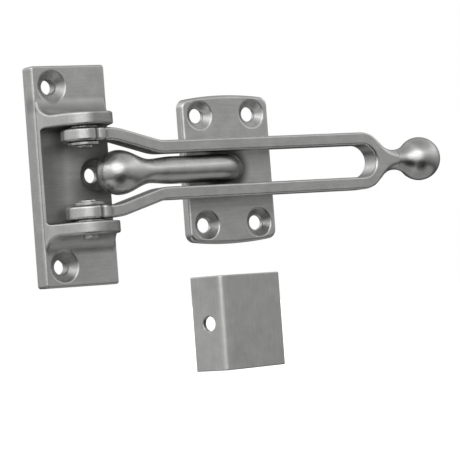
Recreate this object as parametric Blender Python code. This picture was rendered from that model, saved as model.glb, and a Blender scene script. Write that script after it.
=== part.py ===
"""Swing-bar door guard: hinge plate, ball-ended swing bar, ball-post strike plate and edge guard.

Metres, +Z up along the hinge axis. The back faces lie in the plane Y = 0 and the room is
towards -Y. The origin is the foot of the hinge axis on the back of the hinge plate, halfway up.
"""
import math

import bmesh
import bpy
from mathutils import Matrix, Vector

# Hinge plate
PLATE_LEFT = -0.0145
PLATE_WIDTH = 0.0284
PLATE_HEIGHT = 0.0762
PLATE_THICKNESS = 0.0067
PLATE_CORNER = 0.0010
PLATE_EDGE = 0.0005
RIM_WIDTH = 0.0014
FLOOR_CORNER = 0.0006
FLOOR_THICKNESS = 0.0058
END_SCREW_X = -0.0070
END_SCREW_Z = 0.0310
MIDDLE_SCREW_X = 0.0078

# Screw holes for No. 10 flat-head screws, 90 degree countersinks
HOLE_RADIUS = 0.0026
HEAD_RADIUS = 0.0054
STRIKE_HEAD_RADIUS = 0.0051
HOLE_LIP = 0.0006  # how far a countersink is cut past its face

# Hinge: the axis is parallel to Z, in front of the back faces
AXIS_DEPTH = 0.0141
EAR_RADIUS = 0.0104
EAR_INNER = 0.0165
EAR_OUTER = 0.0208
EAR_FILLET = 0.0065
EAR_INSET = 0.0003
EAR_SINK = 0.0008
FILLET_BITE = 0.0001
EYE_RADIUS = 0.0079
EYE_INNER = 0.0110
EYE_OUTER = 0.0155
EYE_EDGE = 0.0004
PIN_RADIUS = 0.00265
BORE_RADIUS = 0.00285
UPPER_PIN_TAIL = 0.0213
LOWER_PIN_TAIL = 0.0223
HEAD_BOTTOM = 0.00845
HEAD_HEIGHT = 0.0012
RIVET_RADIUS = 0.0032
FIT_GAP = 0.00015
RIVET_EDGE = 0.0004
RETAINER_RADIUS = 0.0056
RETAINER_THICKNESS = 0.0011
THRUST_RADIUS = 0.0050
WASHER_EDGE = 0.00015

# Swing bar
ARM_DEPTH = 0.0086
ARM_EDGE = 0.0007
ARM_START = 0.0045
ARM_OUTER = 0.0103
ARM_INNER = 0.00585
FLARE_START = 0.0105
FLARE_RADIUS = 0.022
FLARE_END = 0.0282
RETURN_RADIUS = 0.012
SLOT_END = 0.1170
SHOULDER = 0.1142
SHOULDER_RADIUS = 0.010
SHOULDER_SLOPE = 0.70
BAR_BALL_X = 0.1385
BAR_BALL_RADIUS = 0.00795
BAR_NECK_RADIUS = 0.00365
NECK_FILLET = 0.0095
BAR_TAPER = ((0.0069, 0.0058), (0.0108, 0.0040))  # (distance past the shoulder, radius)
BAR_TAPER_END = 0.01225
NECK_ROOT = 0.1192  # the round neck starts here, inside the shoulder
GROOVE_X = 0.0018  # upright groove in the front of each eye, beside its arm
GROOVE_DEPTH = 0.0089
GROOVE_RADIUS = 0.0018

# Strike plate and its ball post
STRIKE_X = 0.06315
STRIKE_WIDTH = 0.0359
STRIKE_HEIGHT = 0.0530
STRIKE_RISE = 0.0014
STRIKE_THICKNESS = 0.0040
STRIKE_CORNER = 0.0028
STRIKE_EDGE = 0.0006
STRIKE_HOLE_X = 0.01075
STRIKE_HOLE_Z = 0.0195
POST_RADIUS = 0.00485
POST_NECK_RADIUS = 0.00422
POST_BALL_X = 0.0125
POST_BALL_RADIUS = 0.0078
POST_NECK_RUN = 0.0126  # the ball runs into its neck over this length
POST_NECK_STEPS = 12
POST_TAPER = ((0.0145, 0.0043), (0.0175, 0.0046), (0.0208, 0.00485))  # (distance from the ball, radius)
POST_FOOT_X = 0.0612
POST_BEND_RADIUS = 0.0097
POST_GAP = 0.0002
SPIGOT_RADIUS = 0.0033
PEEN_RADIUS = 0.0045
PEEN_DEPTH = 0.0012

# Edge guard: a right-angle plate standing on the ends of its two legs
GUARD_X = 0.0507
GUARD_Z = -0.0544
GUARD_HEIGHT = 0.0335
GUARD_THICKNESS = 0.0018
GUARD_LONG_LEG = 0.0336
GUARD_LEAN = math.radians(21.4)
GUARD_BEND = 0.0026

OUT = 0.02  # how far a cutter reaches past the face it opens
ROUND = 40  # sides of a turned piece
BOW_STEPS = 8
BEND_STEPS = 8
ARC_STEP = math.radians(11)
SMOOTH_ANGLE = math.radians(30)
EDGE_ANGLE = math.radians(50)

TURN_TO_ROOM = (math.pi / 2, 0, 0)  # a turned piece's own +Z points to -Y
TURN_TO_BALL = (0, math.pi / 2, 0)  # a turned piece's own +Z points to +X


def clear_scene():
    for item in list(bpy.data.objects):
        bpy.data.objects.remove(item)


def metal(name, grey, roughness):
    """Satin nickel plate, nearly neutral grey."""
    material = bpy.data.materials.new(name)
    material.use_nodes = True
    shader = material.node_tree.nodes["Principled BSDF"]
    shader.inputs["Base Color"].default_value = (grey, grey, grey * 0.98, 1)
    shader.inputs["Metallic"].default_value = 1.0
    shader.inputs["Roughness"].default_value = roughness
    return material


def add_object(name, shape, material=None):
    """Make a named object from a bmesh. Without a material it is a cutter, which stays hidden."""
    bmesh.ops.recalc_face_normals(shape, faces=shape.faces)
    mesh = bpy.data.meshes.new(name)
    shape.to_mesh(mesh)
    shape.free()
    mesh.shade_smooth()
    mesh.set_sharp_from_angle(angle=SMOOTH_ANGLE)
    item = bpy.data.objects.new(name, mesh)
    bpy.context.collection.objects.link(item)
    if material:
        mesh.materials.append(material)
    else:
        item.hide_render = True
        item.display_type = "WIRE"
    return item


def join(item, other, operation):
    """Cut, unite or intersect an object with another one, which becomes a hidden guide."""
    other.hide_render = True
    other.display_type = "WIRE"
    step = item.modifiers.new(other.name, "BOOLEAN")
    step.operation = operation
    step.object = other
    step.solver = "EXACT"


def soften(item, width, segments=2):
    """Round the sharp edges of a piece."""
    step = item.modifiers.new("soft_edges", "BEVEL")
    step.width = width
    step.segments = segments
    step.limit_method = "ANGLE"
    step.angle_limit = EDGE_ANGLE


def prism(name, outline, axis, low, high, material=None):
    """Extrude a closed outline along X, Y or Z. The outline holds the other two coordinates."""
    spots = {
        "X": lambda a, b: (low, a, b),
        "Y": lambda a, b: (a, low, b),
        "Z": lambda a, b: (a, b, low),
    }
    run = {"X": Vector((1, 0, 0)), "Y": Vector((0, 1, 0)), "Z": Vector((0, 0, 1))}[axis]
    shape = bmesh.new()
    face = shape.faces.new([shape.verts.new(spots[axis](a, b)) for a, b in outline])
    grown = bmesh.ops.extrude_face_region(shape, geom=[face])["geom"]
    moved = [part for part in grown if isinstance(part, bmesh.types.BMVert)]
    bmesh.ops.translate(shape, verts=moved, vec=run * (high - low))
    return add_object(name, shape, material)


def turned(name, profile, material=None, closed=False):
    """Turn a profile of (height, radius) points about the piece's own Z axis."""
    shape = bmesh.new()
    verts = [shape.verts.new((radius, 0, height)) for height, radius in profile]
    for first, second in zip(verts, verts[1:]):
        shape.edges.new((first, second))
    if closed:
        shape.edges.new((verts[-1], verts[0]))
    bmesh.ops.spin(shape, geom=shape.verts[:] + shape.edges[:], axis=(0, 0, 1), cent=(0, 0, 0),
                   angle=2 * math.pi, steps=ROUND, use_merge=True)
    bmesh.ops.remove_doubles(shape, verts=shape.verts[:], dist=1e-7)
    return add_object(name, shape, material)


def swept(name, stations, material=None):
    """Round bar through (x, y, heading, radius) stations, closed by a point or a flat end."""
    shape = bmesh.new()
    rings = []
    for x, y, heading, radius in stations:
        centre = Vector((x, y, 0))
        side = Vector((-math.sin(heading), math.cos(heading), 0)) * radius
        up = Vector((0, 0, radius))
        if radius == 0:
            rings.append([shape.verts.new(centre)])
            continue
        angles = [2 * math.pi * step / ROUND for step in range(ROUND)]
        rings.append([shape.verts.new(centre + side * math.cos(a) + up * math.sin(a)) for a in angles])
    for ring, following in zip(rings, rings[1:]):
        for step in range(ROUND):
            after = (step + 1) % ROUND
            if len(ring) == 1:
                shape.faces.new((ring[0], following[after], following[step]))
            else:
                shape.faces.new((ring[step], ring[after], following[after], following[step]))
    shape.faces.new(rings[-1])
    return add_object(name, shape, material)


def arc(centre, radius, start, end):
    """Points along an arc, angles in radians, end points included."""
    count = max(1, math.ceil(abs(end - start) / ARC_STEP - 1e-6))
    angles = [start + (end - start) * step / count for step in range(count + 1)]
    return [(centre[0] + radius * math.cos(a), centre[1] + radius * math.sin(a)) for a in angles]


def rounded(corners, closed=True):
    """Outline through (x, y, radius) corners, each corner rounded to its own radius."""
    points = []
    count = len(corners)
    for index, (x, y, radius) in enumerate(corners):
        corner = Vector((x, y))
        if radius == 0 or (not closed and index in (0, count - 1)):
            points.append((x, y))
            continue
        before = (Vector(corners[index - 1][:2]) - corner).normalized()
        after = (Vector(corners[(index + 1) % count][:2]) - corner).normalized()
        half = before.angle(after) / 2
        centre = corner + (before + after).normalized() * (radius / math.sin(half))
        first = corner + before * (radius / math.tan(half)) - centre
        last = corner + after * (radius / math.tan(half)) - centre
        start = math.atan2(first.y, first.x)
        sweep = (math.atan2(last.y, last.x) - start + math.pi) % (2 * math.pi) - math.pi
        points += arc(centre, radius, start, start + sweep)
    return points


def ball_profile(neck_radius, ball_radius, fillet_radius):
    """Profile from a neck over a concave fillet to the far pole of a ball centred on zero."""
    reach = math.sqrt((ball_radius + fillet_radius) ** 2 - (neck_radius + fillet_radius) ** 2)
    meet = math.atan2(neck_radius + fillet_radius, -reach)
    hollow = arc((-reach, neck_radius + fillet_radius), fillet_radius, -math.pi / 2, meet - math.pi)
    return hollow + arc((0, 0), ball_radius, meet, 0)[1:-1] + [(ball_radius, 0)]


def cut_screw_hole(item, name, x, z, face, head_radius):
    """Countersunk hole through a plate whose front stands at a height of face."""
    throat = face - (head_radius - HOLE_RADIUS)
    profile = [(-OUT, 0), (-OUT, HOLE_RADIUS), (throat, HOLE_RADIUS),
               (face + HOLE_LIP, head_radius + HOLE_LIP), (face + HOLE_LIP, 0)]
    cutter = turned(name, profile)
    cutter.rotation_euler = TURN_TO_ROOM
    cutter.location = (x, 0, z)
    join(item, cutter, "DIFFERENCE")


def rectangle(left, right, low, high, radius):
    return rounded([(left, low, radius), (right, low, radius), (right, high, radius), (left, high, radius)])


def ear_outline():
    """Ear seen along the hinge axis: a ramp from each side of the plate, tangent to a round nose."""
    left = PLATE_LEFT + EAR_INSET
    right = PLATE_LEFT + PLATE_WIDTH - EAR_INSET
    foot = EAR_SINK - PLATE_THICKNESS
    nose = arc((0, -AXIS_DEPTH), EAR_RADIUS, -math.pi - ramp_end(-left, foot), ramp_end(right, foot))
    root = -FLOOR_THICKNESS / 2
    return [(left, root), (left, foot)] + nose + [(right, foot), (right, root)]


def ramp_end(foot_x, foot_y):
    """Angle on the nose circle at which the ramp from a foot on the +X side becomes tangent."""
    to_foot = Vector((foot_x, foot_y + AXIS_DEPTH))
    return math.atan2(to_foot.y, to_foot.x) - math.acos(EAR_RADIUS / to_foot.length)


def make_hinge_plate():
    """Thick cast plate with a milled floor between two ears that blend into its screw pads."""
    right = PLATE_LEFT + PLATE_WIDTH
    top = PLATE_HEIGHT / 2
    plate = prism("hinge_plate", rectangle(PLATE_LEFT, right, -top, top, PLATE_CORNER), "Y",
                  -PLATE_THICKNESS, 0, metal("hinge_plate_nickel", 0.62, 0.36))
    soften(plate, PLATE_EDGE)
    fillet_floor = PLATE_THICKNESS - FILLET_BITE
    fillet_top = EAR_OUTER + EAR_FILLET
    for side, word in ((1, "upper"), (-1, "lower")):
        span = sorted((side * (EAR_INNER - EAR_SINK), side * fillet_top))
        ear = prism(word + "_ear", ear_outline(), "Z", span[0], span[1])
        hollow = arc((-fillet_floor - EAR_FILLET, fillet_top), EAR_FILLET, -math.pi / 2, 0)
        section = [(-fillet_floor, fillet_top + OUT), (-OUT * 2, fillet_top + OUT), (-OUT * 2, EAR_OUTER)]
        section += hollow
        shoulder = prism(word + "_ear_hollow", [(y, side * z) for y, z in section], "X", -OUT, OUT)
        join(ear, shoulder, "DIFFERENCE")
        join(plate, ear, "UNION")
    rim = PLATE_LEFT + RIM_WIDTH
    floor = rounded([(rim, -OUT * 2, 0), (rim, -FLOOR_THICKNESS, FLOOR_CORNER), (OUT, -FLOOR_THICKNESS, 0),
                     (OUT, -OUT * 2, 0)])
    join(plate, prism("hinge_floor", floor, "Z", -EAR_INNER, EAR_INNER), "DIFFERENCE")
    bore = turned("hinge_bore", [(-2 * OUT, 0), (-2 * OUT, BORE_RADIUS), (2 * OUT, BORE_RADIUS), (2 * OUT, 0)])
    bore.location = (0, -AXIS_DEPTH, 0)
    join(plate, bore, "DIFFERENCE")
    for side, word in ((1, "top"), (-1, "bottom")):
        cut_screw_hole(plate, word + "_screw_hole", END_SCREW_X, side * END_SCREW_Z, PLATE_THICKNESS,
                       HEAD_RADIUS)
    cut_screw_hole(plate, "middle_screw_hole", MIDDLE_SCREW_X, 0, FLOOR_THICKNESS, HEAD_RADIUS)
    return plate


def fork_outline():
    """Both arms, the slot between them and the tapering shoulder, seen from the room."""
    half_turn = math.atan2(EYE_OUTER - ARM_OUTER, FLARE_END - FLARE_START) / 2
    width = ARM_OUTER - ARM_INNER
    shift = width * math.tan(half_turn)
    tip = SHOULDER + (ARM_OUTER - BAR_NECK_RADIUS) / SHOULDER_SLOPE
    outer = [(ARM_START, EYE_OUTER, 0), (FLARE_START, EYE_OUTER, FLARE_RADIUS),
             (FLARE_END, ARM_OUTER, RETURN_RADIUS), (SHOULDER, ARM_OUTER, SHOULDER_RADIUS),
             (tip, BAR_NECK_RADIUS, NECK_FILLET), (tip + NECK_FILLET / 2, BAR_NECK_RADIUS, 0)]
    inner = [(ARM_START, EYE_OUTER - width, 0), (FLARE_START - shift, EYE_OUTER - width, FLARE_RADIUS - width),
             (FLARE_END - shift, ARM_INNER, RETURN_RADIUS + width), (SLOT_END, ARM_INNER, ARM_INNER)]
    outer = rounded(outer, closed=False)
    inner = rounded(inner + [(SLOT_END, 0, 0)], closed=False)
    below = [(x, -z) for x, z in reversed(outer)] + [(x, -z) for x, z in inner]
    return outer + below + list(reversed(inner))[1:]


def make_swing_bar(axis):
    """Forked bar: two eyes on the hinge pins, two arms, and a ball on a short neck."""
    bar = prism("swing_bar", fork_outline(), "Y", -ARM_DEPTH / 2, ARM_DEPTH / 2,
                metal("swing_bar_nickel", 0.66, 0.30))
    soften(bar, ARM_EDGE)
    lead = ARM_DEPTH / 4
    envelope = [(-2 * OUT, 0), (-2 * OUT, OUT), (SHOULDER - lead, OUT), (SHOULDER, ARM_OUTER + lead)]
    envelope += [(SHOULDER + x, radius) for x, radius in BAR_TAPER] + [(SHOULDER + BAR_TAPER_END, 0)]
    taper = turned("bar_taper", envelope)
    taper.rotation_euler = TURN_TO_BALL
    join(bar, taper, "INTERSECT")
    profile = [(NECK_ROOT - BAR_BALL_X, 0), (NECK_ROOT - BAR_BALL_X, BAR_NECK_RADIUS)]
    ball = turned("bar_ball", profile + ball_profile(BAR_NECK_RADIUS, BAR_BALL_RADIUS, NECK_FILLET))
    ball.rotation_euler = TURN_TO_BALL
    ball.location = (BAR_BALL_X, 0, 0)
    join(bar, ball, "UNION")
    ring = [(EYE_OUTER, BORE_RADIUS), (EYE_OUTER, EYE_RADIUS - EYE_EDGE), (EYE_OUTER - EYE_EDGE, EYE_RADIUS),
            (EYE_INNER + EYE_EDGE, EYE_RADIUS), (EYE_INNER, EYE_RADIUS - EYE_EDGE), (EYE_INNER, BORE_RADIUS)]
    for word, turn in (("upper_eye", 0), ("lower_eye", math.pi)):
        eye = turned(word, ring, closed=True)
        eye.rotation_euler = (turn, 0, 0)
        join(bar, eye, "UNION")
    groove = turned("eye_groove", [(-OUT, 0), (-OUT, GROOVE_RADIUS), (OUT, GROOVE_RADIUS), (OUT, 0)])
    groove.location = (GROOVE_X, -GROOVE_DEPTH, 0)
    join(bar, groove, "DIFFERENCE")
    for item in [bar] + [step.object for step in bar.modifiers if step.type == "BOOLEAN"]:
        item.parent = axis
    return bar


def make_hinge_hardware(axis):
    """Riveted pins with their retaining and thrust washers, the lower set turned upside down."""
    neck = HEAD_BOTTOM + HEAD_HEIGHT
    retainer = washer(EYE_INNER - FIT_GAP - RETAINER_THICKNESS, EYE_INNER - FIT_GAP, RETAINER_RADIUS)
    thrust = washer(EYE_OUTER + FIT_GAP, EAR_INNER - FIT_GAP, THRUST_RADIUS)
    for word, tail, turn in (("upper_", UPPER_PIN_TAIL, 0), ("lower_", LOWER_PIN_TAIL, math.pi)):
        pin = [(HEAD_BOTTOM, 0), (HEAD_BOTTOM, RIVET_RADIUS - 3 * RIVET_EDGE),
               (HEAD_BOTTOM + RIVET_EDGE, RIVET_RADIUS - RIVET_EDGE), (HEAD_BOTTOM + 2 * RIVET_EDGE, RIVET_RADIUS),
               (neck, RIVET_RADIUS), (neck, PIN_RADIUS), (tail - RIVET_EDGE, PIN_RADIUS),
               (tail, PIN_RADIUS - RIVET_EDGE), (tail, 0)]
        for kind, profile in (("hinge_pin", pin), ("retaining_washer", retainer), ("thrust_washer", thrust)):
            piece = turned(word + kind, profile, metal(word + kind + "_nickel", 0.6, 0.3), kind != "hinge_pin")
            piece.rotation_euler = (turn, 0, 0)
            piece.parent = axis


def washer(low, high, radius):
    return [(low, BORE_RADIUS), (low, radius - WASHER_EDGE), (low + WASHER_EDGE, radius),
            (high - WASHER_EDGE, radius), (high, radius - WASHER_EDGE), (high, BORE_RADIUS)]


def strike_outline():
    """Rectangle with round corners whose top and bottom edges bow outwards."""
    half_width = STRIKE_WIDTH / 2
    corner_z = STRIKE_HEIGHT / 2 - STRIKE_RISE
    bow = (half_width ** 2 + STRIKE_RISE ** 2) / (2 * STRIKE_RISE)
    crest = []
    for step in range(1, BOW_STEPS):
        x = half_width * (1 - 2 * step / BOW_STEPS)
        crest.append((x, STRIKE_HEIGHT / 2 - bow + math.sqrt(bow ** 2 - x ** 2), 0))
    top = [(half_width, corner_z, STRIKE_CORNER)] + crest + [(-half_width, corner_z, STRIKE_CORNER)]
    return rounded(top + [(-x, -z, radius) for x, z, radius in top])


def make_strike_plate():
    """Four-hole plate with a bore and a rear countersink for the riveted foot of the ball post."""
    plate = prism("strike_plate", strike_outline(), "Y", -STRIKE_THICKNESS, 0,
                  metal("strike_plate_nickel", 0.62, 0.34))
    plate.location = (STRIKE_X, 0, 0)
    soften(plate, STRIKE_EDGE)
    for side_x in (-1, 1):
        for side_z, word in ((1, "upper"), (-1, "lower")):
            name = "%s_%s_strike_hole" % (word, "left" if side_x < 0 else "right")
            cut_screw_hole(plate, name, STRIKE_X + side_x * STRIKE_HOLE_X, side_z * STRIKE_HOLE_Z,
                           STRIKE_THICKNESS, STRIKE_HEAD_RADIUS)
    bore = [(-OUT, 0), (-OUT, PEEN_RADIUS + POST_GAP), (PEEN_DEPTH, PEEN_RADIUS + POST_GAP),
            (PEEN_DEPTH, SPIGOT_RADIUS + POST_GAP), (OUT, SPIGOT_RADIUS + POST_GAP), (OUT, 0)]
    cutter = turned("post_bore", bore)
    cutter.rotation_euler = TURN_TO_ROOM
    cutter.location = (POST_FOOT_X, 0, 0)
    join(plate, cutter, "DIFFERENCE")


def make_ball_post():
    """Ball, neck and round post parallel to the door, then an elbow down to the riveted foot."""
    profile = [(-POST_BALL_RADIUS, 0)] + arc((0, 0), POST_BALL_RADIUS, math.pi, math.pi / 2)[1:-1]
    for step in range(POST_NECK_STEPS + 1):
        share = step / POST_NECK_STEPS
        swell = (POST_BALL_RADIUS - POST_NECK_RADIUS) * (1 + math.cos(math.pi * share)) / 2
        profile.append((share * POST_NECK_RUN, POST_NECK_RADIUS + swell))
    stations = [(POST_BALL_X + x, -AXIS_DEPTH, 0, radius) for x, radius in profile + list(POST_TAPER)]
    bend_x = POST_FOOT_X - POST_BEND_RADIUS
    bend_y = -AXIS_DEPTH + POST_BEND_RADIUS
    for step in range(BEND_STEPS + 1):
        turn = math.pi / 2 * step / BEND_STEPS
        stations.append((bend_x + POST_BEND_RADIUS * math.sin(turn),
                         bend_y - POST_BEND_RADIUS * math.cos(turn), turn, POST_RADIUS))
    face = -STRIKE_THICKNESS - POST_GAP
    peen = POST_GAP - PEEN_DEPTH
    foot = [(face, POST_RADIUS), (face, SPIGOT_RADIUS), (peen, SPIGOT_RADIUS), (peen, PEEN_RADIUS),
            (-POST_GAP, PEEN_RADIUS)]
    stations += [(POST_FOOT_X, y, math.pi / 2, radius) for y, radius in foot]
    swept("ball_post", stations, metal("ball_post_nickel", 0.66, 0.28))


def make_edge_guard():
    """Right-angle plate with one screw hole in its short leg, leaning so that both legs touch Y = 0."""
    thick = GUARD_THICKNESS
    depth = GUARD_LONG_LEG * math.sin(GUARD_LEAN) + thick * math.cos(GUARD_LEAN)
    short_leg = (depth - thick * math.sin(GUARD_LEAN)) / math.cos(GUARD_LEAN)
    outline = rounded([(0, 0, GUARD_BEND), (GUARD_LONG_LEG, 0, 0), (GUARD_LONG_LEG, thick, 0),
                       (thick, thick, GUARD_BEND - thick), (thick, short_leg, 0), (0, short_leg, 0)])
    place = Matrix.Translation((GUARD_X, -depth, GUARD_Z)) @ Matrix.Rotation(GUARD_LEAN, 4, "Z")
    guard = prism("edge_guard", outline, "Z", -GUARD_HEIGHT / 2, GUARD_HEIGHT / 2,
                  metal("edge_guard_nickel", 0.6, 0.38))
    guard.matrix_world = place
    hole = turned("guard_screw_hole", [(-OUT, 0), (-OUT, HOLE_RADIUS), (OUT / 2, HOLE_RADIUS), (OUT / 2, 0)])
    hole.matrix_world = place @ Matrix.Translation((0, short_leg / 2, 0)) @ Matrix.Rotation(math.pi / 2, 4, "Y")
    join(guard, hole, "DIFFERENCE")


def main():
    clear_scene()
    axis = bpy.data.objects.new("hinge_axis", None)
    bpy.context.collection.objects.link(axis)
    axis.location = (0, -AXIS_DEPTH, 0)
    make_hinge_plate()
    make_swing_bar(axis)
    make_hinge_hardware(axis)
    make_strike_plate()
    make_ball_post()
    make_edge_guard()


main()
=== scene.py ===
"""Looks of the swing-bar door guard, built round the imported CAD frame.

Each cast or pressed piece is a distance field in millimetres: its faces are planes, cylinders and
balls, joined with real edge radii and fillets, and the surface is meshed from that field.
"""
import math

import bpy
import numpy as np
from mathutils import Matrix, Vector


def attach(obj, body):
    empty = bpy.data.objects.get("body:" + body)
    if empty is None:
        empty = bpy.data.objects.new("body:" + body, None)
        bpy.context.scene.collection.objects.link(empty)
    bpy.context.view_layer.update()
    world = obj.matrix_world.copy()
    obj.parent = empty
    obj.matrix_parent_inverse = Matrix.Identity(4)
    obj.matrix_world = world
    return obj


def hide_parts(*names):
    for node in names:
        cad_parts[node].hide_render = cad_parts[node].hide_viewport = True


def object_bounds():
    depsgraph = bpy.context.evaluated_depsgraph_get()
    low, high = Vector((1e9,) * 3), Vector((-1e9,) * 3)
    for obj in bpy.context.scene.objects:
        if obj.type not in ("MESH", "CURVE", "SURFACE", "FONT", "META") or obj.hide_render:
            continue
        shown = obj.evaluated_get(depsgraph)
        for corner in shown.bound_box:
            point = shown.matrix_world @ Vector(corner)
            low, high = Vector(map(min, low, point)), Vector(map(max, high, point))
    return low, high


MM = 0.001

# Hinge plate, millimetres
PLATE_LEFT = -14.48
PLATE_RIGHT = 13.88
PLATE_TOP = 38.08
PLATE_THICKNESS = 6.7
PLATE_CORNER = 1.0
PLATE_EDGE = 0.8
BACK_EDGE = 0.3
RIM_WIDTH = 1.4
FLOOR_THICKNESS = 5.8
FLOOR_CORNER = 0.9
FLOOR_EDGE = 0.5
END_SCREW = (-7.0, 31.0)
MIDDLE_SCREW_X = 7.8
HOLE_RADIUS = 2.6
HEAD_RADIUS = 5.4
HOLE_EDGE = 0.25
HOLE_LIP = 0.6
THROAT_EDGE = 0.3

# Hinge
AXIS_DEPTH = 14.1
EAR_RADIUS = 10.35
EAR_INNER = 16.5
EAR_OUTER = 20.8
EAR_FILLET = 6.5
EAR_EDGE = 0.8
EAR_INSET = 0.3
EAR_ROOT = 1.0
EAR_END = 27.8  # height at which the ear's blend has run out
EAR_FOOT_LEFT = -14.2
EAR_FOOT_RIGHT = 13.6
EAR_FOOT_DEPTH = 5.9
EYE_RADIUS = 7.85
EYE_INNER = 11.0
EYE_OUTER = 15.5
PIN_RADIUS = 2.63
BORE_RADIUS = 2.85
BORE_EDGE = 0.3
UPPER_PIN_TAIL = 21.28
LOWER_PIN_TAIL = 22.28
HEAD_BOTTOM = 8.47
HEAD_HEIGHT = 1.2
DOME_RADIUS = 9.0
RIVET_RADIUS = 3.18
RIVET_EDGE = 0.35
SHANK_EDGE = 0.4
SHANK_LAP = 0.5  # how far the shank reaches into the head
RETAINER_RADIUS = 5.58
RETAINER_THICKNESS = 1.08
THRUST_RADIUS = 4.98
FIT_GAP = 0.16
WASHER_EDGE = 0.25

# Swing bar
ARM_HALF_DEPTH = 4.28
ARM_EDGE = 0.75
ARM_OUTER = 10.3
ARM_INNER = 5.85
FLARE_START = 10.5
FLARE_END = 28.2
FLARE_RADIUS = 22.0
RETURN_RADIUS = 12.0
SLOT_END = 117.0
SHOULDER = 114.2
SHOULDER_RADIUS = 10.0
SHOULDER_SLOPE = 0.70
BAR_BALL_X = 138.5
BAR_BALL_RADIUS = 7.92
BAR_NECK_RADIUS = 3.63
NECK_FILLET = 9.5
NECK_ROOT = 120.0  # the round neck starts here, inside the shoulder
FORK_END = 127.5  # and the flat fork ends here, inside the neck
ROUNDING_START = 115.2  # the fork's edges grow rounder from here, and it gets thinner from there
THINNING_START = 116.2
THINNING_RUN = 9.5
FORK_END_EDGE = 3.53
EYE_FILLET = 0.6
GROOVE_X = 1.8
GROOVE_DEPTH = 8.9
GROOVE_RADIUS = 1.8
GROOVE_EDGE = 0.2

# Strike plate and ball post
STRIKE_X = 63.15
STRIKE_HALF_WIDTH = 17.93
STRIKE_HALF_HEIGHT = 26.48
STRIKE_RISE = 1.4
STRIKE_THICKNESS = 4.0
STRIKE_CORNER = 2.8
STRIKE_EDGE = 1.2
STRIKE_HOLE_X = 10.75
STRIKE_HOLE_Z = 19.5
STRIKE_HEAD_RADIUS = 5.1
POST_RADIUS = 4.83
POST_NECK_RADIUS = 4.2
POST_NECK_RUN = 12.6
POST_BALL_X = 12.5
POST_BALL_RADIUS = 7.77
POST_FOOT_X = 61.2
POST_BEND_RADIUS = 9.7
POST_GAP = 0.2
POST_FOOT_EDGE = 0.4
SWELL_START = 11.6  # beyond the ball's centre the neck starts to swell to the post
SWELL_RUN = 9.5
SPIGOT_RADIUS = 3.3
SPIGOT_END = 0.6
PEEN_RADIUS = 4.48
PEEN_DEPTH = 1.2
PEEN_EDGE = 0.25

# Edge guard
GUARD_X = 50.7
GUARD_Z = -54.4
GUARD_HALF_HEIGHT = 16.73
GUARD_THICKNESS = 1.8
GUARD_LONG_LEG = 33.58
GUARD_LEAN = math.radians(21.4)
GUARD_BEND = 2.6
GUARD_EDGE = 0.3
GUARD_END_EDGE = 0.35
GUARD_DEPTH = GUARD_LONG_LEG * math.sin(GUARD_LEAN) + GUARD_THICKNESS * math.cos(GUARD_LEAN)
GUARD_SHORT_LEG = (GUARD_DEPTH - GUARD_THICKNESS * math.sin(GUARD_LEAN)) / math.cos(GUARD_LEAN)

# Grid steps, and the room left round a piece
COARSE = 0.38
MEDIUM = 0.33
FINE = 0.16
MARGIN = 0.5

# Camera: place in metres, and its turn to the right, tilt up and roll from a level look along +Y
CAMERA_PLACE = Vector((-0.43153, -0.82007, -0.04455))
CAMERA_TURN = math.radians(31.139)
CAMERA_TILT = math.radians(1.37)
CAMERA_ROLL = math.radians(-4.275)
CAMERA_LENS = 209.69
CAMERA_AXES = (Matrix.Rotation(-CAMERA_TURN, 3, "Z") @ Matrix.Rotation(math.pi / 2 + CAMERA_TILT, 3, "X")
               @ Matrix.Rotation(CAMERA_ROLL, 3, "Z"))
CAMERA_RIGHT, CAMERA_UP = CAMERA_AXES.col[0], CAMERA_AXES.col[1]
CAMERA_LOOK = -CAMERA_AXES.col[2]
OBJECT_MIDDLE = Vector((0.06, -0.01, 0.0))


# ---------------------------------------------------------------- distance fields

def both(a, b, radius=0.0):
    """Intersection of two fields, with its edge rounded to a radius."""
    if np.isscalar(radius) and radius == 0:
        return np.maximum(a, b)
    corner = np.hypot(np.maximum(a + radius, 0), np.maximum(b + radius, 0))
    return np.minimum(np.maximum(a, b), -radius) + corner


def either(a, b, radius=0.0):
    """Union of two fields, with a concave fillet of a radius."""
    return -both(-a, -b, radius)


def minus(a, b, radius=0.0):
    """The first field with the second cut out, and the cut's edge rounded."""
    return both(a, -b, radius)


def eased(radius, turn_degrees):
    """Rounding that gives an edge of this radius between faces that turn by less than 90 degrees."""
    return radius * (1 - math.cos(math.radians(turn_degrees)))


def between(value, low, high):
    """Slab between two heights."""
    return np.abs(value - (low + high) / 2) - (high - low) / 2


def smooth(value):
    """0 to 1 with level ends."""
    value = np.clip(value, 0, 1)
    return value * value * (3 - 2 * value)


def necked_ball(along, around, rod, neck_radius, ball_radius, fillet):
    """Ball on a rod that leaves it towards +along, with a concave fillet between the two."""
    high = neck_radius + fillet
    reach = math.sqrt((ball_radius + fillet) ** 2 - high ** 2)
    ball = np.hypot(along, around) - ball_radius
    hollow = fillet - np.hypot(along - reach, around - high)
    past_ball = high * along - reach * around > 0
    return np.where(along > reach, rod, np.where(past_ball, hollow, ball))


def screw_hole(x, y, z, place, face, head_radius):
    """Cutter of a countersunk hole for a flat-head screw."""
    across = np.hypot(x - place[0], z - place[1])
    height = -y
    cone = (across - head_radius - height + face) / math.sqrt(2)
    return both(either(across - HOLE_RADIUS, cone, THROAT_EDGE), height - face - HOLE_LIP)


# ---------------------------------------------------------------- meshing

def steps(*stops):
    """Grid coordinates from (start, step) stops to a final bare end."""
    marks = []
    for (start, step), following in zip(stops[:-1], stops[1:]):
        end = following[0] if isinstance(following, tuple) else following
        marks += list(np.linspace(start, end, max(2, round((end - start) / step) + 1))[:-1])
    return np.array(marks + [stops[-1]])


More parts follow.
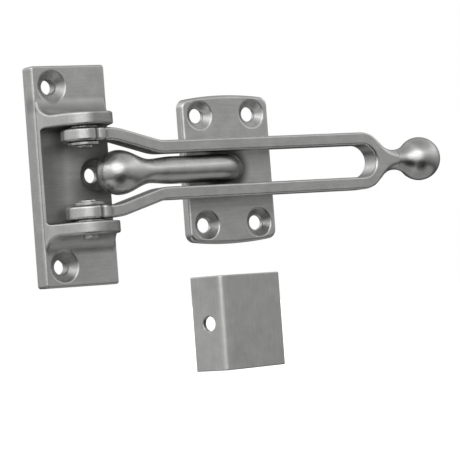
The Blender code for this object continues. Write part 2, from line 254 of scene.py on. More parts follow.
def gradient(field, points, reach=0.02):
    """Slope of a field at points, by central differences."""
    slope = np.empty_like(points)
    for axis in range(3):
        shift = np.zeros(3)
        shift[axis] = reach
        slope[:, axis] = field(*(points + shift).T) - field(*(points - shift).T)
    return slope / (2 * reach)


def curvature(field, points, reach=0.35):
    """Bend of the surface per millimetre: above zero on edges, below zero in corners."""
    total = -6 * field(*points.T)
    for axis in range(3):
        shift = np.zeros(3)
        shift[axis] = reach
        total = total + field(*(points + shift).T) + field(*(points - shift).T)
    return total / reach ** 2


def crossings(values, grids, cells):
    """Mean of the points where the edges of each cell meet the surface."""
    total = np.zeros((len(cells[0]), 3))
    count = np.zeros(len(cells[0]))
    for axis in range(3):
        side, other = (axis + 1) % 3, (axis + 2) % 3
        for a in (0, 1):
            for b in (0, 1):
                corner = [c.copy() for c in cells]
                corner[side] += a
                corner[other] += b
                first = values[tuple(corner)]
                start = np.stack([grids[k][corner[k]] for k in range(3)], 1)
                corner[axis] += 1
                last = values[tuple(corner)]
                end = np.stack([grids[k][corner[k]] for k in range(3)], 1)
                crossed = (first < 0) != (last < 0)
                share = np.where(crossed, first / np.where(crossed, first - last, 1), 0)
                total += np.where(crossed[:, None], start + (end - start) * share[:, None], 0)
                count += crossed
    return total / count[:, None]


def surface(name, field, xs, ys, zs, tone=None, turn=np.identity(3), shift=(0, 0, 0)):
    """Mesh where the field is zero: one vertex in each grid cell that the surface crosses.

    Its points also hold the bend of the surface and the painted light and shade of its tone.
    """
    grids = (xs, ys, zs)
    values = field(xs[:, None, None], ys[None, :, None], zs[None, None, :])
    values = np.ascontiguousarray(np.broadcast_to(values, [len(g) for g in grids]))
    inside = values < 0
    shape = [len(g) - 1 for g in grids]
    filled = np.zeros(shape, np.int8)
    for i in (0, 1):
        for j in (0, 1):
            for k in (0, 1):
                filled += inside[i:i + shape[0], j:j + shape[1], k:k + shape[2]]
    cells = np.nonzero((filled > 0) & (filled < 8))
    number = np.full(shape, -1, np.int64)
    number[cells] = np.arange(len(cells[0]))
    points = crossings(values, grids, cells)
    for _ in range(3):
        slope = gradient(field, points)
        squared = np.maximum((slope ** 2).sum(1), 0.05)
        points -= slope * (field(*points.T) / squared)[:, None]
    normals = gradient(field, points)
    normals /= np.linalg.norm(normals, axis=1)[:, None]
    faces = np.concatenate([quads(inside, number, axis) for axis in range(3)])
    item = add_mesh(name, (points @ turn.T + np.array(shift)) * MM, faces, normals @ turn.T)
    painted_light = tone(*points.T) if tone else np.ones(len(points))
    for title, numbers in (("bend", curvature(field, points)), ("painted_light", painted_light)):
        layer = item.data.attributes.new(title, "FLOAT", "POINT")
        layer.data.foreach_set("value", numbers.astype(np.float32))
    return item


def quads(inside, number, axis):
    """One face across each grid edge along an axis that the surface crosses."""
    side, other = (axis + 1) % 3, (axis + 2) % 3
    low = [slice(None)] * 3
    high = [slice(None)] * 3
    low[axis], high[axis] = slice(0, -1), slice(1, None)
    leaving = inside[tuple(low)] & ~inside[tuple(high)]
    entering = ~inside[tuple(low)] & inside[tuple(high)]
    made = []
    for crossed, order in ((leaving, (0, 1, 2, 3)), (entering, (3, 2, 1, 0))):
        spots = np.array(np.nonzero(crossed))
        ring = []
        for a, b in ((-1, -1), (0, -1), (0, 0), (-1, 0)):
            cell = spots.copy()
            cell[side] += a
            cell[other] += b
            ring.append(number[tuple(cell)])
        made.append(np.stack([ring[k] for k in order], 1))
    return np.concatenate(made)


def add_mesh(name, points, faces, normals):
    """Smooth mesh of four-sided faces with its own normals."""
    mesh = bpy.data.meshes.new(name)
    mesh.vertices.add(len(points))
    mesh.vertices.foreach_set("co", points.astype(np.float32).ravel())
    mesh.loops.add(faces.size)
    mesh.loops.foreach_set("vertex_index", faces.astype(np.int32).ravel())
    mesh.polygons.add(len(faces))
    mesh.polygons.foreach_set("loop_start", np.arange(0, faces.size, 4, dtype=np.int32))
    mesh.update(calc_edges=True)
    mesh.validate()
    mesh.shade_smooth()
    mesh.normals_split_custom_set_from_vertices(normals.tolist())
    item = bpy.data.objects.new(name, mesh)
    bpy.context.scene.collection.objects.link(item)
    return item


def install(item, node, body, material):
    """Ride a finished piece on its body in place of its CAD node."""
    item.data.materials.append(material)
    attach(item, body)
    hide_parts(node)


# ---------------------------------------------------------------- pieces

def ear_side(x, y):
    """Ear seen along the hinge axis: a round nose with a ramp down to each side of the plate."""
    dx, dy = x, y + AXIS_DEPTH
    reach = np.hypot(dx, dy)
    ramps = []
    for foot, turn in ((EAR_FOOT_LEFT, 1), (EAR_FOOT_RIGHT, -1)):
        rise = AXIS_DEPTH - EAR_FOOT_DEPTH
        angle = math.atan2(rise, foot) + turn * math.acos(EAR_RADIUS / math.hypot(foot, rise))
        ramps.append((math.cos(angle), math.sin(angle)))
    left, right = ramps
    past_left = left[0] * dy - left[1] * dx
    past_right = dx * right[1] - dy * right[0]
    on_nose = (past_left > 0) & (past_right > 0)
    flat = np.maximum(dx * left[0] + dy * left[1], dx * right[0] + dy * right[1])
    return np.where(on_nose, reach, flat) - EAR_RADIUS


def hinge_plate(x, y, z):
    """Slab with two ears blended into it, a milled floor between them, a bore and three screw holes."""
    high = np.abs(z)
    middle = (PLATE_LEFT + PLATE_RIGHT) / 2
    outline = both(np.abs(x - middle) - (PLATE_RIGHT - PLATE_LEFT) / 2, high - PLATE_TOP, PLATE_CORNER)
    slab = both(both(outline, -y - PLATE_THICKNESS, PLATE_EDGE), y, BACK_EDGE)
    section = either(high - EAR_OUTER, -PLATE_THICKNESS - y, EAR_FILLET)
    ear = both(both(section, ear_side(x, y), EAR_EDGE), outline + EAR_INSET)
    ear = both(both(ear, y + EAR_ROOT), high - EAR_END)
    body = either(slab, ear)
    recess = both(high - EAR_INNER, PLATE_LEFT + RIM_WIDTH - x, FLOOR_CORNER)
    recess = both(recess, y + FLOOR_THICKNESS, FLOOR_CORNER)
    body = minus(body, recess, FLOOR_EDGE)
    body = minus(body, np.hypot(x, y + AXIS_DEPTH) - BORE_RADIUS, BORE_EDGE)
    end_hole = screw_hole(x, y, high, END_SCREW, PLATE_THICKNESS, HEAD_RADIUS)
    middle_hole = screw_hole(x, y, z, (MIDDLE_SCREW_X, 0), FLOOR_THICKNESS, HEAD_RADIUS)
    return minus(minus(body, end_hole, HOLE_EDGE), middle_hole, HOLE_EDGE)


def arm_middle(x, high):
    """Height above the middle line of an arm, which is level, bends inwards and is level again."""
    half = (ARM_OUTER - ARM_INNER) / 2
    drop = EYE_OUTER - ARM_OUTER
    lean = math.atan2(drop, FLARE_END - FLARE_START)
    first_radius = FLARE_RADIUS - half
    second_radius = RETURN_RADIUS + half
    tangent = math.tan(lean / 2)
    start_x = FLARE_START - FLARE_RADIUS * tangent
    end_x = FLARE_END + RETURN_RADIUS * tangent
    top, bottom = EYE_OUTER - half, ARM_OUTER - half
    along = (math.cos(lean), -math.sin(lean))
    up = (math.sin(lean), math.cos(lean))
    first_x, first_z = start_x, top - first_radius
    second_x, second_z = end_x, bottom + second_radius
    value = high - top + 0 * x
    from_first = (x - first_x, high - first_z)
    from_second = (x - second_x, high - second_z)
    value = np.where(from_first[0] > 0, np.hypot(*from_first) - first_radius, value)
    slope = from_first[0] * up[0] + from_first[1] * up[1] - first_radius
    value = np.where(from_first[0] * along[0] + from_first[1] * along[1] > 0, slope, value)
    bend = second_radius - np.hypot(*from_second)
    value = np.where(from_second[0] * along[0] + from_second[1] * along[1] > 0, bend, value)
    return np.where(from_second[0] > 0, high - bottom, value)


def swing_bar(x, y, z):
    """The fork's outline seen from the front, cut to its side view, then the neck and ball."""
    high = np.abs(z)
    deep = y + AXIS_DEPTH
    half = (ARM_OUTER - ARM_INNER) / 2
    line = arm_middle(x, high)
    slot_middle = SLOT_END - ARM_INNER
    slot = np.where(x > slot_middle, np.hypot(x - slot_middle, high) - ARM_INNER, line + half)
    shoulder = ((x - SHOULDER) * SHOULDER_SLOPE + high - ARM_OUTER) / math.hypot(1, SHOULDER_SLOPE)
    turn = math.degrees(math.atan(SHOULDER_SLOPE))
    outside = both(line - half, shoulder, eased(SHOULDER_RADIUS, turn))
    strip = both(high - BAR_NECK_RADIUS, slot_middle - x)
    front = both(either(outside, strip, eased(NECK_FILLET, turn)), -slot)
    eye = np.hypot(x, deep) - EYE_RADIUS
    thinning = smooth((x - THINNING_START) / THINNING_RUN)
    rounding = smooth((x - ROUNDING_START) / THINNING_RUN)
    half_depth = ARM_HALF_DEPTH + (BAR_NECK_RADIUS - ARM_HALF_DEPTH) * thinning
    arm = both(np.abs(deep) - half_depth, -x)
    groove = np.hypot(x - GROOVE_X, deep + GROOVE_DEPTH) - GROOVE_RADIUS
    side = minus(either(eye, arm, EYE_FILLET), groove, GROOVE_EDGE)
    edge = ARM_EDGE + (FORK_END_EDGE - ARM_EDGE) * rounding
    bar = both(both(front, side, edge), x - FORK_END)
    around = np.hypot(deep, z)
    neck = necked_ball(BAR_BALL_X - x, around, around - BAR_NECK_RADIUS, BAR_NECK_RADIUS, BAR_BALL_RADIUS,
                       NECK_FILLET)
    bar = either(bar, both(neck, NECK_ROOT - x))
    return minus(bar, np.hypot(x, deep) - BORE_RADIUS, BORE_EDGE)


def hinge_pin(x, y, z, tail):
    """Riveted pin along +Z: a low domed head and a plain shank."""
    across = np.hypot(x, y + AXIS_DEPTH)
    neck = HEAD_BOTTOM + HEAD_HEIGHT
    dome = np.hypot(across, z - HEAD_BOTTOM - DOME_RADIUS) - DOME_RADIUS
    head = both(both(across - RIVET_RADIUS, dome, RIVET_EDGE), z - neck, 0.1)
    shank = both(across - PIN_RADIUS, between(z, neck - SHANK_LAP, tail), SHANK_EDGE)
    return either(head, shank)


def washer(x, y, z, low, high, radius):
    """Flat ring round the hinge axis."""
    across = np.hypot(x, y + AXIS_DEPTH)
    ring = both(across - radius, BORE_RADIUS - across)
    return both(ring, between(z, low, high), WASHER_EDGE)


def strike_plate(x, y, z):
    """Plate with arched ends, four screw holes, and a stepped bore for the post's rivet."""
    side = np.abs(x - STRIKE_X)
    high = np.abs(z)
    bow = (STRIKE_HALF_WIDTH ** 2 + STRIKE_RISE ** 2) / (2 * STRIKE_RISE)
    crest = np.hypot(side, high - STRIKE_HALF_HEIGHT + bow) - bow
    outline = both(side - STRIKE_HALF_WIDTH, crest, STRIKE_CORNER)
    plate = both(both(outline, -y - STRIKE_THICKNESS, STRIKE_EDGE), y, BACK_EDGE)
    hole = screw_hole(side, y, high, (STRIKE_HOLE_X, STRIKE_HOLE_Z), STRIKE_THICKNESS, STRIKE_HEAD_RADIUS)
    across = np.hypot(x - POST_FOOT_X, z)
    bore = either(across - SPIGOT_RADIUS - POST_GAP, both(across - PEEN_RADIUS - POST_GAP, -y - PEEN_DEPTH))
    return minus(minus(plate, hole, HOLE_EDGE), bore, 0.1)


def ball_post(x, y, z):
    """Ball that runs into its neck, round post and elbow, with the foot riveted through the plate."""
    deep = y + AXIS_DEPTH
    along = x - POST_BALL_X
    around = np.hypot(deep, z)
    run = (1 + np.cos(np.pi * np.clip(along / POST_NECK_RUN, 0, 1))) / 2
    radius = POST_NECK_RADIUS + (POST_BALL_RADIUS - POST_NECK_RADIUS) * run
    radius = radius + (POST_RADIUS - POST_NECK_RADIUS) * smooth((along - SWELL_START) / SWELL_RUN)
    rod = np.where(along < 0, np.hypot(along, around) - POST_BALL_RADIUS, around - radius)
    bend_x, bend_y = POST_FOOT_X - POST_BEND_RADIUS, -AXIS_DEPTH + POST_BEND_RADIUS
    ring = np.hypot(np.hypot(x - bend_x, y - bend_y) - POST_BEND_RADIUS, z) - POST_RADIUS
    across = np.hypot(x - POST_FOOT_X, z)
    post = np.where(x < bend_x, rod, np.where(y < bend_y, ring, across - POST_RADIUS))
    face = STRIKE_THICKNESS + POST_GAP
    post = both(post, y + face, POST_FOOT_EDGE)
    spigot = both(across - SPIGOT_RADIUS, between(y, -face - 1, -SPIGOT_END))
    peen = both(across - PEEN_RADIUS, between(y, POST_GAP - PEEN_DEPTH, -POST_GAP), PEEN_EDGE)
    return either(post, either(spigot, peen))


def edge_guard(x, y, z):
    """In the plate's own axes: +X along the long leg, +Y along the short leg."""
    outer = both(-x, -y, GUARD_BEND)
    inner = both(GUARD_THICKNESS - x, GUARD_THICKNESS - y, GUARD_BEND - GUARD_THICKNESS)
    sheet = minus(outer, inner)
    sheet = both(sheet, x - GUARD_LONG_LEG, GUARD_EDGE)
    sheet = both(sheet, y - GUARD_SHORT_LEG, GUARD_EDGE)
    sheet = both(sheet, np.abs(z) - GUARD_HALF_HEIGHT, GUARD_END_EDGE)
    hole = both(np.hypot(y - GUARD_SHORT_LEG / 2, z) - HOLE_RADIUS, x - 2 * GUARD_THICKNESS)
    return minus(sheet, hole, HOLE_EDGE)


# ---------------------------------------------------------------- painted light and shade

def shadowed(distance, start, end, least):
    """Tone that rises from its least beside a neighbour to 1 at some distance from it."""
    return least + (1 - least) * smooth((distance - start) / (end - start))


def countersink_shade(distance):
    """Painted shade inside a countersink, slightly darker, from its distance."""
    return shadowed(distance, -0.4, 0.2, 0.86)


def soft_band(offset, width):
    """1 in the middle of a soft band, falling to 0 beyond its width."""
    return np.exp(-(offset / width) ** 2)


def front_only(tone, y):
    """The tone as it is on a plate's front, and none on its back."""
    return 1 - smooth((-y - 1.0) / 1.5) * (1 - tone)


def bar_tone(x, y, z):
    """Painted shade in the left of each eye's groove, and a painted highlight on its right flank."""
    on_front = smooth((-y - AXIS_DEPTH - 6.5) / 0.5)
    groove_shade = soft_band(x - GROOVE_X + 0.7, 0.55)
    flank_highlight = soft_band(x - GROOVE_X - 0.9, 0.5)
    return 1 + on_front * (0.45 * flank_highlight - 0.75 * groove_shade)


def floor_tone(x, y, high):
    """Recess floor painted darker; painted reflections make it darker still to the left, with one lighter
    band.
    """
    on_floor = smooth((EAR_INNER + 0.3 - high) / 0.5) * smooth((y + FLOOR_THICKNESS + 0.6) / 0.4)
    on_floor = on_floor * smooth((x - PLATE_LEFT - 0.88) / 0.6)
    # painted reflection: darker to the left, one lighter band
    level = 0.60 + 0.26 * soft_band(x + 2.6, 2.4) - 0.12 * smooth((-6.0 - x) / 4.0)
    return 1 - on_floor * (1 - level)


def ear_tone(x, y, z):
    """Painted shade: the right of each nose is darker, and so is the blend above the upper ear."""
    start = np.where(z < 0, -0.8, -3.0)
    on_nose = smooth((np.abs(z) - EAR_INNER + 0.3) / 0.3) * smooth((-y - 8.0) / 2.0)
    tone = 1 - 0.30 * on_nose * smooth((x - start) / 2.5)
    return tone * (1 - 0.24 * smooth((z - EAR_OUTER - 0.5) / 2) * smooth((EAR_END + 0.5 - z) / 3))


def hinge_tone(x, y, z):
    """Painted light and shade of the floor and ears, painted shade in the countersinks, and painted shadow
    round the ball.
    """
    high = np.abs(z)
    middle_hole = np.hypot(x - MIDDLE_SCREW_X, z) - HEAD_RADIUS
    end_hole = np.hypot(x - END_SCREW[0], high - END_SCREW[1]) - HEAD_RADIUS
    # painted shadow round the ball, kept out of the middle countersink
    ball_shadow = np.where(middle_hole < 0, 1, shadowed(ball_post(x, y, z), 1.5, 8.0, 0.6))
    tone = floor_tone(x, y, high) * ear_tone(x, y, z) * ball_shadow
    return front_only(tone * countersink_shade(end_hole) * countersink_shade(middle_hole), y)


def strike_tone(x, y, z):
    """Painted shade in the countersinks, and painted shadow round the foot of the post and behind its
    shank.
    """
    hole = np.hypot(np.abs(x - STRIKE_X) - STRIKE_HOLE_X, np.abs(z) - STRIKE_HOLE_Z) - STRIKE_HEAD_RADIUS
    return front_only(shadowed(ball_post(x, y, z), 1.8, 6.5, 0.14) * countersink_shade(hole), y)


def post_tone(x, y, z):
    """Painted shade: the elbow and the flanks of the shank above the strike plate stay dark, and so does
    the post near the plate.
    """
    plate_shade = shadowed(strike_plate(x, y, z), 0.5, 8.0, 0.35)
    # painted shade on the flanks under the arms and on the elbow's end
    flank = smooth((np.abs(z) - 2.4) / 2.4) * smooth((x - 36.0) / 9.0)
    elbow = smooth((x - 49.0) / 13.0)
    return plate_shade * (1 - 0.7 * flank) * (1 - 0.60 * elbow)


def guard_tone(x, y, z):
    """Painted highlight along the outside of the fold."""
    return 1 + 0.22 * soft_band(np.hypot(x - 0.8, y - 0.8), 1.6) + 0 * z


# ---------------------------------------------------------------- building

def build_hinge(materials):
    """The plate with both ears."""
    xs = steps((PLATE_LEFT - MARGIN, COARSE), PLATE_RIGHT + MARGIN)
    ys = steps((-AXIS_DEPTH - EAR_RADIUS - 0.75, COARSE), MARGIN)
    zs = steps((-PLATE_TOP - MARGIN, COARSE), PLATE_TOP + MARGIN)
    plate = surface("hinge_plate_cast", hinge_plate, xs, ys, zs, hinge_tone)
    install(plate, "hinge_plate", "base", materials["hinge"])


def build_bar(materials):
    """The grid is fine at the eyes and at the ball, and longer along the straight of the arms."""
    xs = steps((-EYE_RADIUS - 0.65, COARSE), (33.0, 1.0), (107.0, MEDIUM), BAR_BALL_X + 8.7)
    ys = steps((-AXIS_DEPTH - 8.5, 0.35), -AXIS_DEPTH + 8.5)
    zs = steps((-EYE_OUTER - MARGIN, 0.35), EYE_OUTER + MARGIN)
    bar = surface("swing_bar_cast", swing_bar, xs, ys, zs, bar_tone)
    install(bar, "swing_bar", "swing_bar", materials["bar"])


def build_pin(word, side, material):
    tail = UPPER_PIN_TAIL if side > 0 else LOWER_PIN_TAIL
    across = steps((-3.7, FINE), 3.7)
    heights = steps((HEAD_BOTTOM - 0.4, FINE), (10.4, 0.6), (tail - 0.9, FINE), tail + 0.3)
    pin = surface(word + "_hinge_pin_riveted", flipped(lambda x, y, z: hinge_pin(x, y, z, tail), side),
                  across, across - AXIS_DEPTH, facing(heights, side))
    install(pin, word + "_hinge_pin", "base", material)


def build_washer(name, side, low, high, radius, material):
    across = steps((-6.1, FINE), 6.1)
    heights = steps((low - 0.3, 0.1), high + 0.3)
    ring = surface(name + "_turned", flipped(lambda x, y, z: washer(x, y, z, low, high, radius), side),
                   across, across - AXIS_DEPTH, facing(heights, side))
    install(ring, name, "base", material)


def build_hinge_hardware(materials):
    """A pin, a retaining washer and a thrust washer, and the same set upside down."""
    retainer_top = EYE_INNER - FIT_GAP
    for word, side in (("upper", 1), ("lower", -1)):
        build_pin(word, side, materials["pin"])
        build_washer(word + "_retaining_washer", side, retainer_top - RETAINER_THICKNESS, retainer_top,
                     RETAINER_RADIUS, materials["washer"])
        build_washer(word + "_thrust_washer", side, EYE_OUTER + FIT_GAP, EAR_INNER - FIT_GAP,
                     THRUST_RADIUS, materials["washer"])


def build_strike(materials):
    """The strike plate and its post."""
    xs = steps((STRIKE_X - 18.6, COARSE), STRIKE_X + 18.6)
    plate = surface("strike_plate_cast", strike_plate, xs, steps((-4.6, 0.3), 0.4),
                    steps((-27.1, COARSE), 27.1), strike_tone)
    install(plate, "strike_plate", "base", materials["strike"])
    post = surface("ball_post_cast", ball_post, steps((POST_BALL_X - 8.4, MEDIUM), 68.5),
                   steps((-22.6, MEDIUM), 0.3), steps((-8.4, MEDIUM), 8.4), post_tone)
    install(post, "ball_post", "base", materials["post"])


def build_guard(materials):
    """The guard is meshed in its own axes, then turned and shifted to its place."""
    xs = steps((-MARGIN, 0.3), (6.0, 0.5), (32.6, 0.3), 34.1)
    turn = np.array(Matrix.Rotation(GUARD_LEAN, 3, "Z"))
    guard = surface("edge_guard_folded", edge_guard, xs, steps((-MARGIN, 0.3), 14.9),
                    steps((-17.2, 0.35), 17.2), guard_tone, turn, (GUARD_X, -GUARD_DEPTH, GUARD_Z))
    install(guard, "edge_guard", "base", materials["guard"])


def flipped(field, side):
    """The same field, turned upside down when side is -1."""
    return lambda x, y, z: field(x, y, z * side)


def facing(heights, side):
    """Grid heights for that side, in rising order."""
    return heights if side > 0 else -heights[::-1]


# ---------------------------------------------------------------- materials

def node(tree, kind, **values):
    """New node with the given settings."""
    made = tree.nodes.new(kind)
    for key, value in values.items():
        setattr(made, key, value)
    return made


def noise(tree, coordinates, scale, detail=3.0, roughness=0.55):
    """Noise whose grain has the given spacing per metre on each axis."""
    mapping = node(tree, "ShaderNodeMapping")
    mapping.inputs["Scale"].default_value = scale
    tree.links.new(coordinates, mapping.inputs["Vector"])
    made = node(tree, "ShaderNodeTexNoise")
    made.inputs["Scale"].default_value = 1.0
    made.inputs["Detail"].default_value = detail
    made.inputs["Roughness"].default_value = roughness
    tree.links.new(mapping.outputs["Vector"], made.inputs["Vector"])
    return made.outputs["Fac"]


def math_node(tree, operation, *inputs):
    """Result of one sum on numbers or on other nodes' results."""
    made = node(tree, "ShaderNodeMath", operation=operation)
    for socket, value in zip(made.inputs, inputs):
        if isinstance(value, (int, float)):
            socket.default_value = value
        else:
            tree.links.new(value, socket)
    return made.outputs[0]


def ranged(tree, value, low, high, to_low, to_high):
    """Value moved from one range to another and held within it."""
    made = node(tree, "ShaderNodeMapRange")
    made.inputs["From Min"].default_value = low
    made.inputs["From Max"].default_value = high
    made.inputs["To Min"].default_value = to_low
    made.inputs["To Max"].default_value = to_high
    tree.links.new(value, made.inputs["Value"])
    return made.outputs["Result"]


def satin_nickel(name, grey, roughness, brush, streak=0.10, bump=0.25):
    """Satin nickel plate, brushed along one axis, with mottling, fine cast grain, edge wear, painted shade
    in concave corners and each point's painted light and shade.

    brush holds the streaks' spacing per metre on each axis.
    """
    material = bpy.data.materials.new(name)
    material.use_nodes = True
    tree = material.node_tree
    shader = tree.nodes["Principled BSDF"]
    shader.inputs["Metallic"].default_value = 1.0
    place = node(tree, "ShaderNodeTexCoord").outputs["Object"]
    streaks = noise(tree, place, brush, 4.0, 0.6)
    mottle = noise(tree, place, (210, 210, 210), 3.0)
    grain = noise(tree, place, (2600, 2600, 2600), 2.0)
    bend = node(tree, "ShaderNodeAttribute", attribute_name="bend").outputs["Fac"]
    painted_light = node(tree, "ShaderNodeAttribute", attribute_name="painted_light").outputs["Fac"]
    worn = ranged(tree, bend, 0.5, 1.3, 0.0, 1.0)
    sunk = ranged(tree, bend, -0.25, -1.1, 0.0, 1.0)
    tone = ranged(tree, streaks, 0.25, 0.75, 1 - streak, 1 + streak)
    tone = math_node(tree, "MULTIPLY", tone, ranged(tree, mottle, 0.3, 0.7, 0.93, 1.07))
    tone = math_node(tree, "MULTIPLY", tone, ranged(tree, grain, 0.3, 0.7, 0.95, 1.05))
    tone = math_node(tree, "MULTIPLY", tone, math_node(tree, "MULTIPLY_ADD", worn, 0.05, 1.0))
    # painted shade: concave corners darkened by their bend
    tone = math_node(tree, "MULTIPLY", tone, math_node(tree, "MULTIPLY_ADD", sunk, -0.45, 1.0))
    # the point's painted light and shade darkens or brightens the colour
    tone = math_node(tree, "MULTIPLY", tone, painted_light)
    tone = math_node(tree, "MULTIPLY", tone, grey)
    colour = node(tree, "ShaderNodeCombineColor")
    tree.links.new(tone, colour.inputs["Red"])
    tree.links.new(tone, colour.inputs["Green"])
    tree.links.new(math_node(tree, "MULTIPLY", tone, 0.985), colour.inputs["Blue"])
    tree.links.new(colour.outputs["Color"], shader.inputs["Base Color"])
    rough = ranged(tree, streaks, 0.25, 0.75, roughness + 0.06, roughness - 0.06)
    rough = math_node(tree, "ADD", rough, ranged(tree, mottle, 0.3, 0.7, -0.03, 0.03))
    rough = math_node(tree, "MULTIPLY_ADD", worn, -0.06, rough)
    tree.links.new(rough, shader.inputs["Roughness"])
    height = math_node(tree, "MULTIPLY_ADD", grain, 0.5, streaks)
    relief = node(tree, "ShaderNodeBump")
    relief.inputs["Strength"].default_value = bump
    relief.inputs["Distance"].default_value = 0.00012
    tree.links.new(height, relief.inputs["Height"])
    tree.links.new(relief.outputs["Normal"], shader.inputs["Normal"])
    return material


def make_materials():
    """One metal for each kind of piece, brushed the way that piece is."""
    across = (90, 900, 1700)
    along = (70, 1500, 1500)
    upright = (1500, 1500, 90)
    even = (900, 900, 900)
    return {
        "hinge": satin_nickel("satin_nickel_hinge", 0.64, 0.40, across, 0.08, 0.15),
        "bar": satin_nickel("satin_nickel_bar", 0.67, 0.32, along, 0.08, 0.10),
        "pin": satin_nickel("satin_nickel_pins", 0.58, 0.32, even, 0.12),
        "washer": satin_nickel("satin_nickel_washers", 0.55, 0.30, even, 0.12),
        "strike": satin_nickel("satin_nickel_strike", 0.67, 0.36, across, 0.08, 0.15),
        "post": satin_nickel("satin_nickel_post", 0.72, 0.31, along, 0.08, 0.08),
        "guard": satin_nickel("satin_nickel_guard", 0.62, 0.38, upright, 0.05, 0.08),
    }


# ---------------------------------------------------------------- studio

def aim(item, place, target):
    """Put an item at a place and point it at a target."""
    item.location = place
    item.rotation_mode = "QUATERNION"
    item.rotation_quaternion = (target - place).to_track_quat("-Z", "Y")


def make_camera():
    camera = bpy.data.objects.new("camera", bpy.data.cameras.new("camera"))
    bpy.context.scene.collection.objects.link(camera)
    camera.matrix_world = Matrix.Translation(CAMERA_PLACE) @ CAMERA_AXES.to_4x4()
    camera.data.lens = CAMERA_LENS
    camera.data.sensor_width = 36
    camera.data.clip_start = 0.01
    camera.data.clip_end = 20
    bpy.context.scene.camera = camera


def toward(right, up, back=1.0):
    """Direction from the object, in terms of the picture: right, up, and back to the camera."""
    return (CAMERA_RIGHT * right + CAMERA_UP * up - CAMERA_LOOK * back).normalized()


def area_light(name, direction, distance, size, energy):
    light = bpy.data.lights.new(name, "AREA")
    light.shape = "DISK"
    light.size = size
    light.energy = energy
    item = bpy.data.objects.new(name, light)
    bpy.context.scene.collection.objects.link(item)
    aim(item, OBJECT_MIDDLE + direction * distance, OBJECT_MIDDLE)


def glow(tree, direction, vector, start_degrees, end_degrees, strength):
    """Factor that reaches strength within end_degrees of a direction and is 1 beyond start_degrees."""
    dot = node(tree, "ShaderNodeVectorMath", operation="DOT_PRODUCT")
    tree.links.new(vector, dot.inputs[0])
    dot.inputs[1].default_value = direction
    made = node(tree, "ShaderNodeMapRange", interpolation_type="SMOOTHSTEP")
    made.inputs["From Min"].default_value = math.cos(math.radians(start_degrees))
    made.inputs["From Max"].default_value = math.cos(math.radians(end_degrees))
    made.inputs["To Min"].default_value = 1.0
    made.inputs["To Max"].default_value = strength
    tree.links.new(dot.outputs["Value"], made.inputs["Value"])
    return made.outputs["Result"]


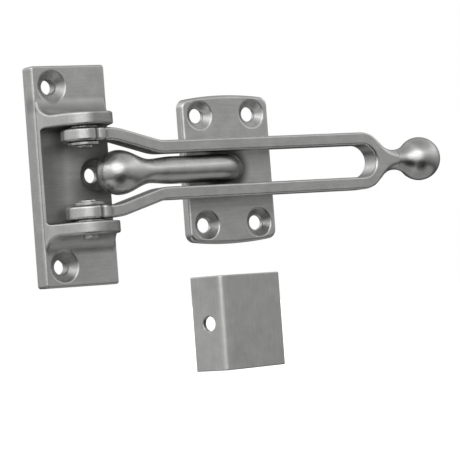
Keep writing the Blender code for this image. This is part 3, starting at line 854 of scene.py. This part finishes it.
def make_world():
    """White behind the object, and a soft grey room for the metal to reflect."""
    world = bpy.data.worlds.new("studio")
    bpy.context.scene.world = world
    world.use_nodes = True
    tree = world.node_tree
    tree.nodes.clear()
    vector = node(tree, "ShaderNodeTexCoord").outputs["Generated"]
    parts = node(tree, "ShaderNodeSeparateXYZ")
    tree.links.new(vector, parts.inputs["Vector"])
    height = node(tree, "ShaderNodeValToRGB")
    tree.links.new(math_node(tree, "MULTIPLY_ADD", parts.outputs["Z"], 0.5, 0.5), height.inputs["Fac"])
    height.color_ramp.interpolation = "EASE"
    bands = ((-1.0, 0.34), (-0.70, 0.44), (-0.46, 0.04), (-0.22, 0.27), (0.0, 0.37), (0.20, 0.60),
             (0.45, 1.05), (0.75, 0.60), (1.0, 0.45))
    stops = height.color_ramp.elements
    while len(stops) < len(bands):
        stops.new(0.5)
    for stop, (up, level) in zip(stops, bands):
        stop.position = up / 2 + 0.5
        stop.color = (level, level, level, 1)
    behind = glow(tree, CAMERA_LOOK, vector, 52, 22, 0.25)
    left = glow(tree, Vector((-1.0, -0.1, 0.0)).normalized(), vector, 95, 25, 1.65)
    right = glow(tree, Vector((1.0, -0.3, 0.0)).normalized(), vector, 50, 10, 1.25)
    spot = glow(tree, Vector((-0.30, -0.75, -0.57)).normalized(), vector, 40, 17, 0.05)
    level = math_node(tree, "MULTIPLY", height.outputs["Color"], behind)
    level = math_node(tree, "MULTIPLY", level, right)
    level = math_node(tree, "MULTIPLY", level, spot)
    level = math_node(tree, "MULTIPLY", level, left)
    inside = node(tree, "ShaderNodeBackground")
    tree.links.new(level, inside.inputs["Strength"])
    backdrop = node(tree, "ShaderNodeBackground")
    backdrop.inputs["Strength"].default_value = 1.0
    backdrop.inputs["Color"].default_value = (1, 1, 1, 1)
    path = node(tree, "ShaderNodeLightPath")
    mix = node(tree, "ShaderNodeMixShader")
    tree.links.new(path.outputs["Is Camera Ray"], mix.inputs[0])
    tree.links.new(inside.outputs[0], mix.inputs[1])
    tree.links.new(backdrop.outputs[0], mix.inputs[2])
    out = node(tree, "ShaderNodeOutputWorld")
    tree.links.new(mix.outputs[0], out.inputs["Surface"])


def make_floor():
    """Plain pale floor under the object, seen by the camera only."""
    low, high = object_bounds()
    centre = (low + high) / 2
    reach = 6.0
    verts = [(centre.x + a * reach, centre.y + b * reach, low.z - 0.0006)
             for a, b in ((-1, -1), (1, -1), (1, 1), (-1, 1))]
    mesh = bpy.data.meshes.new("floor")
    mesh.from_pydata(verts, [], [(0, 1, 2, 3)])
    floor = bpy.data.objects.new("floor", mesh)
    bpy.context.scene.collection.objects.link(floor)
    material = bpy.data.materials.new("pale_floor")
    material.use_nodes = True
    shader = material.node_tree.nodes["Principled BSDF"]
    shader.inputs["Base Color"].default_value = (0.9, 0.9, 0.9, 1)
    shader.inputs["Roughness"].default_value = 0.9
    shader.inputs["Specular IOR Level"].default_value = 0.0
    shader.inputs["Emission Color"].default_value = (1, 1, 1, 1)
    shader.inputs["Emission Strength"].default_value = 0.9
    mesh.materials.append(material)
    floor.visible_glossy = False
    floor.visible_diffuse = False


def make_studio():
    make_world()
    make_camera()
    make_floor()
    area_light("softbox", toward(-0.05, 0.40), 0.60, 0.62, 0.62)
    bpy.context.scene.view_settings.view_transform = "Standard"


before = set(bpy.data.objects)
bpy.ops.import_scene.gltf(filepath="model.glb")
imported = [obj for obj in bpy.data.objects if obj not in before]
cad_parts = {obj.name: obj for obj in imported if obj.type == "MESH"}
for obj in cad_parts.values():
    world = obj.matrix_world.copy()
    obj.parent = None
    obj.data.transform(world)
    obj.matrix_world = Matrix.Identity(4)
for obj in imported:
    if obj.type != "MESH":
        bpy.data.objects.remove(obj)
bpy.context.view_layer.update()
materials = make_materials()
for build in (build_hinge, build_bar, build_hinge_hardware, build_strike, build_guard):
    build(materials)
make_studio()
